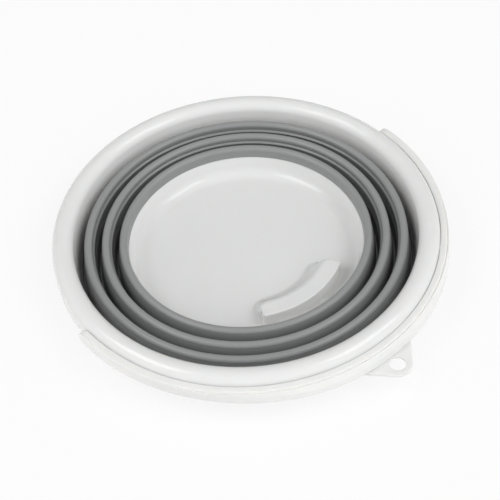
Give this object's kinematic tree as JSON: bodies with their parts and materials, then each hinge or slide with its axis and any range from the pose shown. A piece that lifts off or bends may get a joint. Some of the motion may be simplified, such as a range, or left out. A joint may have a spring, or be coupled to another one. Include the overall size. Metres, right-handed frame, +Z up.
{
  "type": "collapsible bucket",
  "caption": "Round bucket with a soft ringed wall that folds flat between a rigid dish base and a rigid rim, with a swinging half-ring handle and a hanging lug.",
  "frame": {"origin": "centre of the underside, on the surface that the bucket stands on", "axes": "+Z up, out of the bucket's mouth; -Y towards the middle of the folded handle and the hanging lug; the handle's pins lie along X"},
  "size_m": [0.3422, 0.3595, 0.042],
  "materials": {
    "white_plastic": "satin injection-moulded polypropylene, slightly warm white",
    "grey_elastomer": "satin thermoplastic elastomer, mid grey"
  },
  "bodies": {
    "base": {"base_dish": "white_plastic", "fold_ring_1": "grey_elastomer", "fold_web_1": "grey_elastomer"},
    "band_2": {"fold_ring_2": "grey_elastomer", "fold_web_2": "grey_elastomer"},
    "band_3": {"fold_ring_3": "grey_elastomer", "fold_web_3": "grey_elastomer"},
    "rim": {"rim": "white_plastic", "rim_collar": "grey_elastomer"},
    "handle": {"handle": "white_plastic"}
  },
  "joints": [
    {"name": "fold_1_lift", "type": "slide", "parent": "base", "child": "band_2", "axis": [0, 0, 1], "range_m": [0, 0.048], "deforming": ["fold_web_1"]},
    {"name": "fold_2_lift", "type": "slide", "parent": "band_2", "child": "band_3", "axis": [0, 0, 1], "range_m": [0, 0.048], "deforming": ["fold_web_2"]},
    {"name": "fold_3_lift", "type": "slide", "parent": "band_3", "child": "rim", "axis": [0, 0, 1], "range_m": [0, 0.048], "deforming": ["fold_web_3"]},
    {"name": "handle_swing", "type": "hinge", "parent": "rim", "child": "handle", "pos_m": [0, 0, 0.0305], "axis": [-1, 0, 0], "range_deg": [0, 180]}
  ]
}
